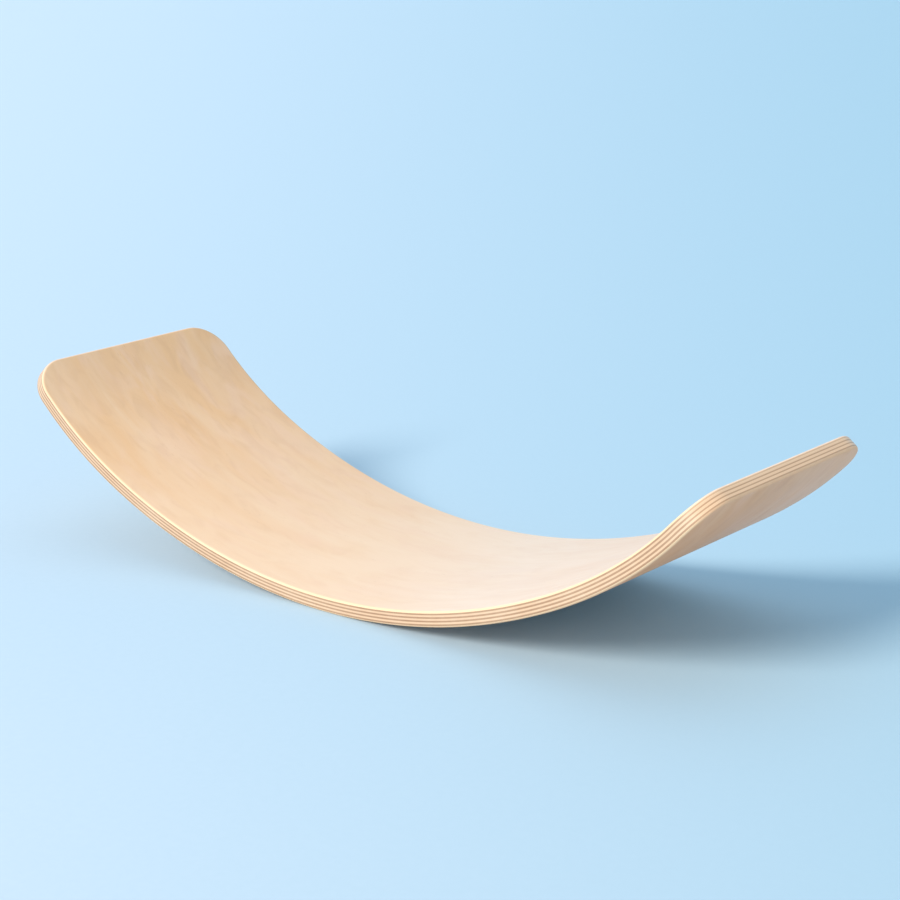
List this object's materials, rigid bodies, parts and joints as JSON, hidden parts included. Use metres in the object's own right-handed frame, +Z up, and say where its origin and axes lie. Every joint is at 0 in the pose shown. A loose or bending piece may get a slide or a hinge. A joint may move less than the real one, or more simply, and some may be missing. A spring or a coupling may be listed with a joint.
{
  "type": "curved balance board",
  "caption": "Bent plywood balance board with rounded corners and turned-up tips, moulded from stacked veneers and rocking on its curved belly.",
  "frame": {"origin": "middle of the belly's lowest strip, where the board touches the ground", "axes": "+X along the board, +Y across it, +Z up out of the hollow side"},
  "size_m": [0.9994, 0.3, 0.2143],
  "materials": {
    "face_veneer": "satin clear lacquer on pale birch, grain along the board",
    "long_grain_core": "sanded and lacquered veneer edge, grain along the board",
    "cross_grain_core": "sanded and lacquered veneer edge, end grain showing on the long sides"
  },
  "bodies": {
    "root": {"top_face_veneer": "face_veneer", "cross_veneer_1": "cross_grain_core", "long_veneer_1": "long_grain_core", "cross_veneer_2": "cross_grain_core", "long_veneer_2": "long_grain_core", "cross_veneer_3": "cross_grain_core", "long_veneer_3": "long_grain_core", "cross_veneer_4": "cross_grain_core", "bottom_face_veneer": "face_veneer"}
  },
  "joints": []
}
